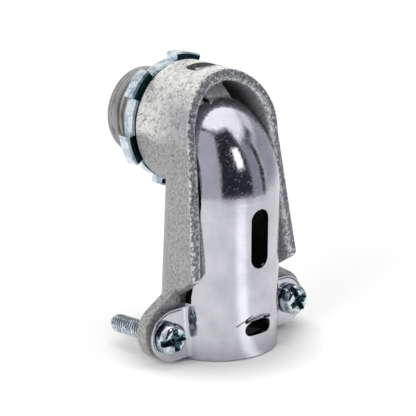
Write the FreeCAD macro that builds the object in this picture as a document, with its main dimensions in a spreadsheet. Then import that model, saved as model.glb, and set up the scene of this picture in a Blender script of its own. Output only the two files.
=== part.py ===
import FreeCAD, Part
import math
import os
import re

import Sketcher
from FreeCAD import Placement, Rotation, Vector

# Right-angle squeeze connector for half-inch flexible metal conduit.
# The conduit comes up along +Z from the origin and the threaded nipple leaves along +Y.

# Driving dimensions, in millimetres and degrees.
sizes = {
    # nipple, shoulder and hood of the casting
    "nippleHeight": 50.2,
    "nippleRadius": 10.5,
    "nippleLength": 15.35,
    "nippleBoreRadius": 7.9,
    "nippleChamfer": 0.9,
    "threadPitch": 1.814,
    "threadDepth": 0.5,
    "threadAngle": 60,
    "threadStart": 3.4,
    "threadCount": 5,
    "shoulderY": 13.55,
    "collarRadius": 14.2,
    "collarRound": 0.9,
    "hoodDraft": 2,
    "hoodWall": 2.4,
    "backWall": 2.35,
    # saddle: a tapering U that the hood runs into
    "conduitRadius": 11.2,
    "conduitSeat": 20.0,
    "conduitStop": 0.25,
    "saddleWall": 1.7,
    "saddleFlat": 1.8,
    "saddleHeadFlat": 0.2,
    "wallSplay": 14,
    "mouthSplay": 23.3,
    "throatSplay": 4,
    # front lip of the side walls, and their slanted lower ends
    "lipCornerY": -8.6,
    "lipCornerZ": 19.9,
    "lipLean": 8.5,
    "lipSweep": 45.0,
    "lipSweepRise": 2.0,
    "lipRound": 0.7,
    "wallEndSlope": 38,
    "wallCornerRound": 1.6,
    # parting plane, tapped ears and screw places
    "earTilt": 5,
    "earFaceY": -1.9,
    "screwX": 19.0,
    "screwZ": 6.6,
    "tapEarX": 17.6,
    "tapEarRise": 0.6,
    "tapEarRadius": 6.4,
    "tapEarThick": 3.4,
    "tapEarRound": 0.7,
    "earLap": 1.2,
    "earWebAngle": 30,
    "threadClearance": 0.06,
    # slot in the hood's crown for the cover's tongue
    "hookSlotLength": 8.6,
    "hookSlotWidth": 4.6,
    "hookSlotFrontY": 3.6,
    "hookSlotCorner": 1.6,
    # cover: half tube, bent back at the top
    "sheetThick": 1.5,
    "coverRadius": 14.0,
    "rimZ": 0.3,
    "bendDrop": 13.9,
    "bendRadius": 9.0,
    "bendAngle": 66,
    "domeHalfAngle": 57,
    "flankGap": 0.4,
    "edgeGap": 0.15,
    "crownGap": 0.6,
    "edgeFootY": -3.94,
    "edgeFootZ": 13.3,
    "edgeKneeY": -4.5,
    "edgeKneeZ": 16.3,
    "partingGap": 0.05,
    "coverEarX": 17.45,
    "coverEarRadius": 5.8,
    "coverEarLap": 0.5,
    "earBendRadius": 1.2,
    "earHoleClearance": 0.45,
    "tongueWidth": 6.6,
    "tongueRise": 40,
    "tongueBend": 1.0,
    "tongueRoot": 6,
    "hookGap": 0.25,
    "hookProud": -0.6,
    "inspectZ": 27.8,
    "inspectLength": 13.65,
    "inspectWidth": 5.1,
    "lanceZ": 5.4,
    "lanceHeight": 3.1,
    "lanceWidth": 7.6,
    "lanceRound": 1.5,
    "lanceLip": 1.7,
    "lanceDepth": 0.9,
    # machine screws
    "screwRadius": 2.085,
    "screwLength": 19.0,
    "screwTip": 1.3,
    "screwTipRadius": 1.45,
    "headRadius": 3.55,
    "headHeight": 2.9,
    "headRound": 1.3,
    "seatGap": 0.05,
    "driveWidth": 1.5,
    "driveDepth": 1.3,
    "crossLength": 5.2,
    "crossDepth": 1.7,
    "wellRadius": 1.35,
    "leftDriveAngle": 4,
    "rightDriveAngle": 114,
    # locknut
    "nutGap": 0.6,
    "nutThick": 3.6,
    "nutRadius": 14.0,
    "nutClearance": 0.08,
    "nutChamfer": 0.4,
    "lugRadius": 15.6,
    "lugRoot": 1.0,
    "lugSpan": 27,
    "lugCount": 6,
    "lugPhase": 39.5,
}

doc = FreeCAD.newDocument("elbow_conduit_connector")
sheet = doc.addObject("Spreadsheet::Sheet", "sizes")
for row, (alias, number) in enumerate(sizes.items(), start=1):
    sheet.set("A%d" % row, alias)
    sheet.set("B%d" % row, str(number))
    sheet.setAlias("B%d" % row, alias)
doc.recompute()

# Places that several pieces share, as formulas of the driving dimensions.
coverAxisY = "(coverRadius - sheetThick - conduitRadius)"
cavityBackY = "(shoulderY - backWall)"
tipY = "(shoulderY + nippleLength)"
seatOffset = "(partingGap + sheetThick + seatGap)"
headSeatY = "(earFaceY - %s * cos(earTilt))" % seatOffset
headSeatZ = "(screwZ + %s * sin(earTilt))" % seatOffset
crownZ = "(nippleHeight + collarRadius)"
bendZ = "(nippleHeight - bendDrop)"

# Raw stock reaches to here before it is trimmed, and cuts run past it.
stockFront = "(coverRadius + sheetThick)"
pastFront = "(coverRadius + 2 * sheetThick)"
pastBack = "(shoulderY + coverRadius)"
pastFoot = "-coverRadius"
pastCrown = "(%s + coverRadius)" % crownZ
throughWidth = "(4 * coverRadius)"

# Two places closer than this are the same, and a cut takes at least this many cubic millimetres.
tiny = 1e-4
leastCut = 0.5


def bound(formula):
    """The formula with each driving dimension pointed at its cell."""
    def cell(match):
        word = match.group()
        return "sizes." + word if word in sizes else word
    return re.sub(r"[A-Za-z]\w*", cell, formula)


def value(formula):
    return float(sheet.evalExpression(bound(formula)))


def newBody(label):
    body = doc.addObject("PartDesign::Body", label)
    body.Label = label
    return body


def newSketch(body, name, plane, lift="0", rise="0", turn=None, axis=Vector(0, 0, 1)):
    """A sketch on one of the body's origin planes, lifted off it, raised in it and turned."""
    sketch = body.newObject("Sketcher::SketchObject", name)
    support = next(f for f in body.Origin.OriginFeatures if f.Role == plane)
    sketch.AttachmentSupport = [(support, "")]
    sketch.MapMode = "FlatFace"
    angle = value(turn) if turn else 0
    sketch.AttachmentOffset = Placement(Vector(0, value(rise), value(lift)), Rotation(axis, angle))
    sketch.setExpression("AttachmentOffset.Base.y", bound(rise))
    sketch.setExpression("AttachmentOffset.Base.z", bound(lift))
    if turn:
        sketch.setExpression("AttachmentOffset.Rotation.Angle", bound(turn))
    return sketch


def earSketch(body, name, lift):
    """A sketch on the leaning parting plane, centred at the screws' height."""
    ahead = "-earFaceY + (%s) * cos(earTilt)" % lift
    above = "screwZ + (%s) * sin(earTilt)" % lift
    return newSketch(body, name, "XZ_Plane", ahead, above, "earTilt", Vector(-1, 0, 0))


def fixPlace(sketch, geometry, point, kind, place):
    """Bind one coordinate of a point; a plain zero puts it on the sketch's axis."""
    if place == "0":
        axis = -2 if kind == "DistanceX" else -1
        sketch.addConstraint(Sketcher.Constraint("PointOnObject", geometry, point, axis))
    else:
        index = sketch.addConstraint(Sketcher.Constraint(kind, -1, 1, geometry, point, value(place)))
        sketch.setExpression("Constraints[%d]" % index, bound(place))


def fixPoint(sketch, geometry, point, x, y):
    fixPlace(sketch, geometry, point, "DistanceX", x)
    fixPlace(sketch, geometry, point, "DistanceY", y)


def fixRadius(sketch, geometry, radius):
    index = sketch.addConstraint(Sketcher.Constraint("Radius", geometry, value(radius)))
    sketch.setExpression("Constraints[%d]" % index, bound(radius))


def circle(sketch, x, y, radius):
    centre = Vector(value(x), value(y), 0)
    geometry = sketch.addGeometry(Part.Circle(centre, Vector(0, 0, 1), value(radius)))
    fixPoint(sketch, geometry, 3, x, y)
    fixRadius(sketch, geometry, radius)


def outline(sketch, corners):
    """A closed outline. A corner is (x, y), or (x, y, centre x, centre y, turn) where an arc
    runs on to the next corner: turn is 1 for counter-clockwise and -1 for clockwise."""
    places = [Vector(value(c[0]), value(c[1]), 0) for c in corners]
    edges = []
    for index, corner in enumerate(corners):
        here, there = places[index], places[(index + 1) % len(corners)]
        if len(corner) == 2:
            geometry = sketch.addGeometry(Part.LineSegment(here, there))
            edges.append((geometry, 1, 2))
            continue
        centre = Vector(value(corner[2]), value(corner[3]), 0)
        first, last, ends = (here, there, (1, 2)) if corner[4] > 0 else (there, here, (2, 1))
        begin = math.atan2(first.y - centre.y, first.x - centre.x)
        sweep = (math.atan2(last.y - centre.y, last.x - centre.x) - begin) % (2 * math.pi)
        whole = Part.Circle(centre, Vector(0, 0, 1), here.distanceToPoint(centre))
        geometry = sketch.addGeometry(Part.ArcOfCircle(whole, begin, begin + sweep))
        upright = abs(there.y - here.y) > abs(there.x - here.x)
        fixPlace(sketch, geometry, 3, "DistanceX" if upright else "DistanceY", corner[2 if upright else 3])
        edges.append((geometry,) + ends)
    for (geometry, begin, end), following, corner in zip(edges, edges[1:] + edges[:1], corners):
        sketch.addConstraint(Sketcher.Constraint("Coincident", geometry, end, following[0], following[1]))
        fixPoint(sketch, geometry, begin, corner[0], corner[1])


def obround(sketch, x, y, length, width):
    """An upright slot with round ends: length is end to end."""
    reach = "(%s - %s) / 2" % (length, width)
    radius = value(width) / 2
    centres = [Vector(value(x), value("%s + %s" % (y, side + reach)), 0) for side in ("", "-1 * ")]
    top = Part.ArcOfCircle(Part.Circle(centres[0], Vector(0, 0, 1), radius), 0, math.pi)
    bottom = Part.ArcOfCircle(Part.Circle(centres[1], Vector(0, 0, 1), radius), math.pi, 2 * math.pi)
    side = Vector(radius, 0, 0)
    shapes = (top, Part.LineSegment(centres[0] - side, centres[1] - side), bottom,
              Part.LineSegment(centres[1] + side, centres[0] + side))
    first = [sketch.addGeometry(shape) for shape in shapes]
    for here, there in zip(first, first[1:] + first[:1]):
        sketch.addConstraint(Sketcher.Constraint("Tangent", here, 2, there, 1))
    sketch.addConstraint(Sketcher.Constraint("Equal", first[0], first[2]))
    fixPoint(sketch, first[0], 3, x, "%s + %s" % (y, reach))
    fixPoint(sketch, first[2], 3, x, "%s - %s" % (y, reach))
    fixRadius(sketch, first[0], width + " / 2")


def roundedBox(sketch, x, y, length, width, radius):
    """A box about (x, y), its corners rounded."""
    right = "%s + %s / 2" % (x, length)
    left = "%s - %s / 2" % (x, length)
    top = "%s + %s / 2" % (y, width)
    bottom = "%s - %s / 2" % (y, width)
    inRight, inLeft = right + " - " + radius, left + " + " + radius
    inTop, inBottom = top + " - " + radius, bottom + " + " + radius
    outline(sketch, [
        (inLeft, bottom),
        (inRight, bottom, inRight, inBottom, 1),
        (right, inBottom),
        (right, inTop, inRight, inTop, 1),
        (inRight, top),
        (inLeft, top, inLeft, inTop, 1),
        (left, inTop),
        (left, inBottom, inLeft, inBottom, 1),
    ])


def extrude(body, kind, name, sketch, length, reverse=False, symmetric=False):
    feature = body.newObject("PartDesign::" + kind, name)
    feature.Profile = sketch
    feature.Reversed = reverse
    if symmetric:
        feature.SideType = "Symmetric"
    feature.setExpression("Length", bound(length))
    return feature


def loft(body, kind, name, first, last):
    feature = body.newObject("PartDesign::" + kind, name)
    feature.Profile = first
    feature.Sections = [last]
    feature.Ruled = True
    return feature


def revolve(body, name, sketch, axis, angle, reverse=False, kind="Revolution"):
    feature = body.newObject("PartDesign::" + kind, name)
    feature.Profile = sketch
    feature.ReferenceAxis = (sketch, [axis])
    feature.Reversed = reverse
    feature.setExpression("Angle", bound(angle))
    return feature


def soften(body, kind, name, size, chosen):
    """Round or bevel the edges of the body's tip that the rule chooses."""
    doc.recompute()
    base = body.Tip
    names = ["Edge%d" % n for n, edge in enumerate(base.Shape.Edges, start=1) if chosen(edge)]
    if not names:
        raise RuntimeError("%s finds no edge" % name)
    feature = body.newObject("PartDesign::" + kind, name)
    feature.Base = (base, names)
    feature.setExpression("Radius" if kind == "Fillet" else "Size", bound(size))
    return feature


def isCircle(edge, radius, y):
    """A whole or part circle of this radius, square to the nipple at this Y."""
    curve = edge.Curve
    if not isinstance(curve, Part.Circle) or abs(curve.Radius - value(radius)) > tiny:
        return False
    return abs(curve.Center.y - value(y)) < tiny


def along(edge, test):
    """True where the ends and the middle of the edge all pass the test."""
    middle = edge.valueAt((edge.FirstParameter + edge.LastParameter) / 2)
    return all(test(point) for point in [vertex.Point for vertex in edge.Vertexes] + [middle])


def spanZ(edge):
    return edge.BoundBox.ZLength


def aheadOfParting(point):
    """How far a point stands in front of the parting plane."""
    tilt = math.radians(value("earTilt"))
    return (value("earFaceY") - point.y) * math.cos(tilt) + (point.z - value("screwZ")) * math.sin(tilt)


def runsAcross(edge, y, z):
    """A straight edge along X at this place in the side view."""
    return along(edge, lambda p: abs(p.y - value(y)) < tiny and abs(p.z - value(z)) < tiny)


def mirrored(x, side):
    return x if side > 0 else "-(%s)" % x


def parting(z):
    """Y of the parting plane at this height, on the casting's side."""
    return "(earFaceY + (%s - screwZ) * tan(earTilt))" % z


def lip(z):
    """Y of the front lip at this height."""
    return "(lipCornerY + (%s - lipCornerZ) * tan(lipLean))" % z


lipHeadY = lip("nippleHeight")
sweepFootZ = "(nippleHeight + lipSweepRise)"
sweepY = "(%s + lipSweep * cos(lipLean))" % lip(sweepFootZ)
sweepZ = "(%s - lipSweep * sin(lipLean))" % sweepFootZ
hoodLipRadius = "(collarRadius - (shoulderY - %s) * tan(hoodDraft))" % lipHeadY
cavityRadius = "(%s - hoodWall)" % hoodLipRadius
mouthRadius = "(conduitRadius - conduitStop)"
throatRadius = "(%s * cos(throatSplay) + %s * sin(throatSplay))" % (cavityRadius, lipHeadY)


def channelSide(y, z):
    """X of the channel's splayed side wall at this place."""
    mouthX = "((%s - %s * sin(mouthSplay)) / cos(mouthSplay))" % (mouthRadius, y)
    throatX = "((%s - %s * sin(throatSplay)) / cos(throatSplay))" % (throatRadius, y)
    return "(%s + (%s - %s) * %s / nippleHeight)" % (mouthX, throatX, mouthX, z)


def onLip(point):
    """On the front lip: a leaning plane to just above the nipple's axis, then an arc swept back."""
    if point.z < value(sweepFootZ):
        return abs(point.y - value(lip(str(point.z)))) < tiny
    reach = math.hypot(point.y - value(sweepY), point.z - value(sweepZ))
    return abs(reach - value("lipSweep")) < tiny


def saddleOutside(sketch, flat, radius):
    """U outline of the saddle: a flat back, two round corners and walls splayed to the front."""
    front = "-" + stockFront
    foot = "%s + (%s + %s * sin(wallSplay)) / cos(wallSplay)" % (flat, radius, stockFront)
    tangentX = "%s + %s * cos(wallSplay)" % (flat, radius)
    tangentY = "%s * sin(wallSplay)" % radius
    outline(sketch, [
        (mirrored(foot, -1), front),
        (foot, front),
        (tangentX, tangentY, flat, "0", 1),
        (flat, radius),
        (mirrored(flat, -1), radius, mirrored(flat, -1), "0", 1),
        (mirrored(tangentX, -1), tangentY),
    ])


def saddleInside(sketch, splay, radius):
    """The conduit's channel: a round back and walls splayed to the front."""
    front = "-" + pastFront
    foot = "(%s + %s * sin(%s)) / cos(%s)" % (radius, pastFront, splay, splay)
    tangentX = "%s * cos(%s)" % (radius, splay)
    tangentY = "%s * sin(%s)" % (radius, splay)
    outline(sketch, [
        (mirrored(foot, -1), front),
        (foot, front),
        (tangentX, tangentY, "0", "0", 1),
        (mirrored(tangentX, -1), tangentY),
    ])


def makeBody():
    """The casting: nipple, collar and hood, saddle, ears."""
    body = newBody("elbow_body")
    low = newSketch(body, "saddleFoot", "XY_Plane")
    saddleOutside(low, "saddleFlat", "(conduitRadius + saddleWall)")
    high = newSketch(body, "saddleHead", "XY_Plane", "nippleHeight")
    headReach = "(%s - saddleHeadFlat) * cos(wallSplay)" % hoodLipRadius
    headCorner = "(%s + %s * sin(wallSplay))" % (headReach, lipHeadY)
    saddleOutside(high, "saddleHeadFlat", headCorner)
    loft(body, "AdditiveLoft", "saddle", low, high)

    hood = newSketch(body, "hoodProfile", "YZ_Plane", "0", "nippleHeight")
    outline(hood, [
        ("-" + stockFront, "0"),
        ("shoulderY", "0"),
        ("shoulderY", "collarRadius"),
        ("-" + stockFront, "collarRadius - (shoulderY + %s) * tan(hoodDraft)" % stockFront),
    ])
    revolve(body, "hood", hood, "H_Axis", "360")

    front = newSketch(body, "frontProfile", "YZ_Plane")
    wallEndZ = "(lipCornerZ - (earFaceY - lipCornerY) * tan(wallEndSlope))"
    outline(front, [
        ("-" + pastFront, pastFoot),
        (parting(pastFoot), pastFoot),
        (parting(wallEndZ), wallEndZ),
        ("lipCornerY", "lipCornerZ"),
        (lip(sweepFootZ), sweepFootZ, sweepY, sweepZ, -1),
        ("%s - sqrt(lipSweep ^ 2 - (%s - %s) ^ 2)" % (sweepY, pastCrown, sweepZ), pastCrown),
        ("-" + pastFront, pastCrown),
    ])
    extrude(body, "Pocket", "frontTrim", front, throughWidth, symmetric=True)
    soften(body, "Fillet", "wallCorner", "wallCornerRound",
           lambda edge: runsAcross(edge, "lipCornerY", "lipCornerZ"))

    mouth = newSketch(body, "channelFoot", "XY_Plane")
    saddleInside(mouth, "mouthSplay", mouthRadius)
    throat = newSketch(body, "channelHead", "XY_Plane", "nippleHeight")
    saddleInside(throat, "throatSplay", throatRadius)
    loft(body, "SubtractiveLoft", "channel", mouth, throat)

    seat = newSketch(body, "conduitSeatRing", "XY_Plane")
    circle(seat, "0", "0", "conduitRadius")
    extrude(body, "Pocket", "conduitSocket", seat, "conduitSeat", reverse=True)

    cavity = newSketch(body, "cavityRing", "XZ_Plane", "-" + cavityBackY)
    circle(cavity, "0", "nippleHeight", cavityRadius)
    extrude(body, "Pocket", "cavity", cavity, "%s + %s" % (cavityBackY, pastFront), reverse=True)

    ring = newSketch(body, "nippleRing", "XZ_Plane", "-shoulderY")
    circle(ring, "0", "nippleHeight", "nippleRadius")
    extrude(body, "Pad", "nipple", ring, "nippleLength", reverse=True)
    bore = newSketch(body, "boreRing", "XZ_Plane", "-" + tipY)
    circle(bore, "0", "nippleHeight", "nippleBoreRadius")
    extrude(body, "Pocket", "bore", bore, "nippleLength + backWall + hoodWall", reverse=True)

    ears = earSketch(body, "tapEars", "0")
    rootX = "(conduitRadius + earLap)"
    topX = "(tapEarX + tapEarRadius * sin(earWebAngle))"
    topY = "(tapEarRise + tapEarRadius * cos(earWebAngle))"
    webY = "(%s + (%s - %s) * tan(earWebAngle))" % (topY, topX, rootX)
    for side in (1, -1):
        outline(ears, [
            (mirrored(rootX, side), "tapEarRise - tapEarRadius"),
            (mirrored("tapEarX", side), "tapEarRise - tapEarRadius",
             mirrored("tapEarX", side), "tapEarRise", side),
            (mirrored(topX, side), topY),
            (mirrored(rootX, side), webY),
        ])
    extrude(body, "Pad", "ears", ears, "tapEarThick", reverse=True)
    holes = earSketch(body, "tapHoles", "0")
    for side in (1, -1):
        circle(holes, mirrored("screwX", side), "0", "screwRadius + threadClearance")
    extrude(body, "Pocket", "tapped", holes, "2 * tapEarThick")

    slotMidY = "hookSlotFrontY + hookSlotWidth / 2"
    slot = newSketch(body, "hookSlot", "XY_Plane", crownZ + " + hoodWall", slotMidY)
    roundedBox(slot, "0", "0", "hookSlotLength", "hookSlotWidth", "hookSlotCorner")
    extrude(body, "Pocket", "hookOpening", slot, "4 * hoodWall")

    soften(body, "Fillet", "lipEdges", "lipRound",
           lambda edge: spanZ(edge) > tiny and along(edge, onLip))
    soften(body, "Fillet", "earEdges", "tapEarRound",
           lambda edge: len(edge.Vertexes) == 2 and not isinstance(edge.Curve, Part.BSplineCurve)
           and along(edge, lambda p: abs(aheadOfParting(p) + value("tapEarThick")) < tiny))
    soften(body, "Fillet", "collarEdge", "collarRound",
           lambda edge: isCircle(edge, "collarRadius", "shoulderY"))
    soften(body, "Chamfer", "nippleEnd", "nippleChamfer",
           lambda edge: isCircle(edge, "nippleRadius", tipY))

    tooth = newSketch(body, "threadForm", "YZ_Plane", "0", "nippleHeight")
    rootY = "(shoulderY + nutGap + threadStart)"
    flank = "(2 * threadDepth * tan(threadAngle / 2))"
    outline(tooth, [
        ("%s - %s" % (rootY, flank), "nippleRadius + threadDepth"),
        (rootY, "nippleRadius - threadDepth"),
        ("%s + %s" % (rootY, flank), "nippleRadius + threadDepth"),
    ])
    groove = revolve(body, "threadGroove", tooth, "H_Axis", "360", kind="Groove")
    thread = body.newObject("PartDesign::LinearPattern", "thread")
    thread.Originals = [groove]
    thread.Direction = (next(f for f in body.Origin.OriginFeatures if f.Role == "Y_Axis"), [""])
    thread.setExpression("Length", bound("threadPitch * (threadCount - 1)"))
    thread.setExpression("Occurrences", bound("threadCount"))
    body.Tip = thread
    return body


def sector(sketch, axisY, halfAngle):
    """Section of the sheet: an arc of the tube's wall about its axis, open to the back."""
    inner = "(coverRadius - sheetThick)"
    reach = ("(%s * sin(" + halfAngle + "))")
    depth = ("(" + axisY + " - %s * cos(" + halfAngle + "))")
    outline(sketch, [
        (mirrored(reach % "coverRadius", -1), depth % "coverRadius", "0", axisY, 1),
        (reach % "coverRadius", depth % "coverRadius"),
        (reach % inner, depth % inner, "0", axisY, -1),
        (mirrored(reach % inner, -1), depth % inner),
    ])


def makeCover():
    """The pressed sheet: half tube, bent dome, tongue, ears and slots."""
    body = newBody("clamp_cover")
    tube = newSketch(body, "tubeSection", "XY_Plane", "rimZ")
    sector(tube, coverAxisY, "90")
    extrude(body, "Pad", "tube", tube, bendZ + " - rimZ")

    edge = newSketch(body, "edgeProfile", "YZ_Plane")
    domeEdgeY = "(%s - coverRadius * cos(domeHalfAngle))" % coverAxisY
    behind = "(partingGap / cos(earTilt))"
    outline(edge, [
        ("%s - %s" % (parting(pastFoot), behind), pastFoot),
        (pastBack, pastFoot),
        (pastBack, bendZ),
        (domeEdgeY, bendZ),
        ("edgeKneeY", "edgeKneeZ"),
        ("edgeFootY", "edgeFootZ"),
        ("%s - %s" % (parting("edgeFootZ"), behind), "edgeFootZ"),
    ])
    extrude(body, "Pocket", "edgeTrim", edge, throughWidth, symmetric=True)

    dome = newSketch(body, "domeSection", "XY_Plane", bendZ, coverAxisY + " + bendRadius")
    sector(dome, "-bendRadius", "domeHalfAngle")
    revolve(body, "dome", dome, "H_Axis", "bendAngle", reverse=True)
    flanks = newSketch(body, "domeFlanks", "XZ_Plane")
    farX = "2 * coverRadius"
    kneeX = "(%s - edgeGap)" % channelSide("edgeKneeY", "edgeKneeZ")
    bendX = "(%s - flankGap)" % channelSide(domeEdgeY, bendZ)
    crownX = "(%s - crownGap)" % cavityRadius
    outline(flanks, [
        ("-" + farX, "edgeFootZ"),
        ("-" + kneeX, "edgeFootZ"),
        ("-" + kneeX, "edgeKneeZ"),
        ("-" + bendX, bendZ),
        ("-" + crownX, "nippleHeight", "0", "nippleHeight", -1),
        ("0", "nippleHeight + " + crownX, "0", "nippleHeight", -1),
        (crownX, "nippleHeight"),
        (bendX, bendZ),
        (kneeX, "edgeKneeZ"),
        (kneeX, "edgeFootZ"),
        (farX, "edgeFootZ"),
        (farX, pastCrown),
        ("-" + farX, pastCrown),
    ])
    extrude(body, "Pocket", "flankTrim", flanks, throughWidth, symmetric=True)

    chord = "sqrt((coverRadius - sheetThick) ^ 2 - (%s - earFaceY) ^ 2)" % coverAxisY
    rootX = "(%s + coverEarLap)" % chord
    ears = earSketch(body, "coverEars", "partingGap")
    for side in (1, -1):
        outline(ears, [
            (mirrored(rootX, side), "-coverEarRadius"),
            (mirrored("coverEarX", side), "-coverEarRadius",
             mirrored("coverEarX", side), "0", side),
            (mirrored("coverEarX", side), "coverEarRadius"),
            (mirrored(rootX, side), "coverEarRadius"),
        ])
    extrude(body, "Pad", "ears", ears, "sheetThick")

    soften(body, "Fillet", "earBendFronts", "earBendRadius",
           lambda edge: along(edge, lambda p: abs(p.x) < value("coverRadius")
                              and abs(aheadOfParting(p) - value("partingGap + sheetThick")) < tiny))
    soften(body, "Fillet", "earBendBacks", "earBendRadius",
           lambda edge: along(edge, lambda p: abs(p.x) < value("coverRadius - sheetThick")
                              and abs(aheadOfParting(p) - value("partingGap")) < tiny))

    tongue = newSketch(body, "tongueProfile", "YZ_Plane")
    axisY = "(%s + bendRadius)" % coverAxisY
    outer = "(bendRadius + coverRadius)"
    middle = "(%s - sheetThick / 2)" % outer
    startY = "(%s - %s * cos(bendAngle))" % (axisY, outer)
    startZ = "(%s + %s * sin(bendAngle))" % (bendZ, outer)
    hookY = "(hookSlotFrontY + hookGap)"
    lowY = "(%s + sheetThick * sin(tongueRise))" % startY
    lowZ = "(%s - sheetThick * cos(tongueRise))" % startZ
    bendFrontZ = "(%s + (%s - %s) * tan(tongueRise))" % (startZ, hookY, startY)
    bendBackZ = "(%s + (%s + sheetThick - %s) * tan(tongueRise))" % (lowZ, hookY, lowY)
    outline(tongue, [
        (startY, startZ),
        (hookY, bendFrontZ),
        (hookY, crownZ + " + hookProud"),
        (hookY + " + sheetThick", crownZ + " + hookProud"),
        (hookY + " + sheetThick", bendBackZ),
        (lowY, lowZ),
        ("%s - %s * cos(bendAngle - tongueRoot)" % (axisY, middle),
         "%s + %s * sin(bendAngle - tongueRoot)" % (bendZ, middle)),
    ])
    extrude(body, "Pad", "tongue", tongue, "tongueWidth", symmetric=True)
    soften(body, "Fillet", "tongueBendFront", "tongueBend",
           lambda edge: runsAcross(edge, hookY, bendFrontZ))
    soften(body, "Fillet", "tongueBendBack", "tongueBend + sheetThick",
           lambda edge: runsAcross(edge, hookY + " + sheetThick", bendBackZ))

    window = newSketch(body, "inspectSlot", "XZ_Plane")
    obround(window, "0", "inspectZ", "inspectLength", "inspectWidth")
    extrude(body, "Pocket", "inspection", window, "2 * coverRadius", reverse=True)

    lance = newSketch(body, "lanceSlot", "XZ_Plane")
    roundedBox(lance, "0", "lanceZ + lanceHeight / 2", "lanceWidth", "lanceHeight", "lanceRound")
    extrude(body, "Pocket", "lanced", lance, "2 * coverRadius", reverse=True)
    press = newSketch(body, "lancePress", "YZ_Plane")
    crown = "(%s - coverRadius)" % coverAxisY
    lowLip = "(lanceZ + lanceHeight)"
    outline(press, [
        (crown + " - sheetThick", lowLip),
        (crown + " + lanceDepth", lowLip),
        (crown, lowLip + " + lanceLip"),
        (crown + " - sheetThick", lowLip + " + lanceLip"),
    ])
    extrude(body, "Pocket", "lancePressed", press, "lanceWidth", symmetric=True)

    holes = earSketch(body, "screwHoles", "partingGap")
    for side in (1, -1):
        circle(holes, mirrored("screwX", side), "0", "screwRadius + earHoleClearance")
    extrude(body, "Pocket", "screwClearance", holes, "2 * sheetThick", reverse=True)
    return body


def makeScrew(label, side, drive):
    """A machine screw along its own Z, its head's underside at zero, set square to the parting plane."""
    body = newBody(label)
    half = newSketch(body, label + "Profile", "XZ_Plane")
    outline(half, [
        ("0", "-screwLength"),
        ("screwTipRadius", "-screwLength"),
        ("screwRadius", "screwTip - screwLength"),
        ("screwRadius", "0"),
        ("headRadius", "0"),
        ("headRadius", "headHeight - headRound",
         "headRadius - headRound", "headHeight - headRound", 1),
        ("headRadius - headRound", "headHeight"),
        ("0", "headHeight"),
    ])
    revolve(body, label + "Turned", half, "V_Axis", "360")
    for name, length, depth in (("Slot", "3 * headRadius", "driveDepth"),
                                ("Cross", "crossLength", "crossDepth")):
        cut = newSketch(body, label + name, "XY_Plane", "headHeight", "0", drive)
        wide, tall = (length, "driveWidth") if name == "Slot" else ("driveWidth", length)
        outline(cut, [
            ("-%s / 2" % wide, "-%s / 2" % tall),
            ("%s / 2" % wide, "-%s / 2" % tall),
            ("%s / 2" % wide, "%s / 2" % tall),
            ("-%s / 2" % wide, "%s / 2" % tall),
        ])
        extrude(body, "Pocket", label + name + "Cut", cut, depth)
    well = newSketch(body, label + "Well", "XY_Plane", "headHeight")
    circle(well, "0", "0", "wellRadius")
    extrude(body, "Pocket", label + "WellCut", well, "crossDepth")
    body.Placement = Placement(Vector(0, 0, 0), Rotation(Vector(1, 0, 0), value("90 - earTilt")))
    body.setExpression("Placement.Base.x", bound(mirrored("screwX", side)))
    body.setExpression("Placement.Base.y", bound(headSeatY))
    body.setExpression("Placement.Base.z", bound(headSeatZ))
    body.setExpression("Placement.Rotation.Angle", bound("90 - earTilt"))
    return body


def makeLocknut():
    """A pressed ring with lugs, along its own Z, on the nipple behind the shoulder."""
    body = newBody("locknut")
    disc = newSketch(body, "nutDisc", "XY_Plane")
    circle(disc, "0", "0", "nutRadius")
    extrude(body, "Pad", "ring", disc, "nutThick")
    lug = newSketch(body, "nutLug", "XY_Plane", "0", "0", "lugPhase")
    inner = "(nutRadius - lugRoot)"
    outline(lug, [
        (inner + " * cos(lugSpan / 2)", inner + " * -sin(lugSpan / 2)"),
        ("lugRadius * cos(lugSpan / 2)", "lugRadius * -sin(lugSpan / 2)", "0", "0", 1),
        ("lugRadius * cos(lugSpan / 2)", "lugRadius * sin(lugSpan / 2)"),
        (inner + " * cos(lugSpan / 2)", inner + " * sin(lugSpan / 2)"),
    ])
    first = extrude(body, "Pad", "lug", lug, "nutThick")
    pattern = body.newObject("PartDesign::PolarPattern", "lugs")
    pattern.Originals = [first]
    pattern.Axis = (next(f for f in body.Origin.OriginFeatures if f.Role == "Z_Axis"), [""])
    pattern.Angle = 360
    pattern.setExpression("Occurrences", bound("lugCount"))
    body.Tip = pattern
    bore = newSketch(body, "nutBore", "XY_Plane", "nutThick")
    circle(bore, "0", "0", "nippleRadius + nutClearance")
    extrude(body, "Pocket", "threaded", bore, "2 * nutThick")
    soften(body, "Chamfer", "nutRims", "nutChamfer",
           lambda edge: isinstance(edge.Curve, Part.Circle)
           and edge.Curve.Radius > value("nutRadius") - tiny)
    body.Placement = Placement(Vector(0, 0, 0), Rotation(Vector(1, 0, 0), -90))
    body.setExpression("Placement.Base.y", bound("shoulderY + nutGap"))
    body.setExpression("Placement.Base.z", bound("nippleHeight"))
    return body


pieces = [
    makeBody(),
    makeCover(),
    makeScrew("screw_left", -1, "leftDriveAngle"),
    makeScrew("screw_right", 1, "rightDriveAngle"),
    makeLocknut(),
]
doc.recompute()

for item in doc.Objects:
    if {"Invalid", "Error"} & set(item.State):
        raise RuntimeError("%s did not build: %s" % (item.Name, item.State))
    if item.TypeId in ("PartDesign::Pocket", "PartDesign::SubtractiveLoft"):
        if item.Name == "flankTrim":
            continue  # a slim cover already clears the casting
        if item.Shape.Volume > item.BaseFeature.Shape.Volume - leastCut:
            raise RuntimeError("%s cuts nothing" % item.Name)

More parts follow.
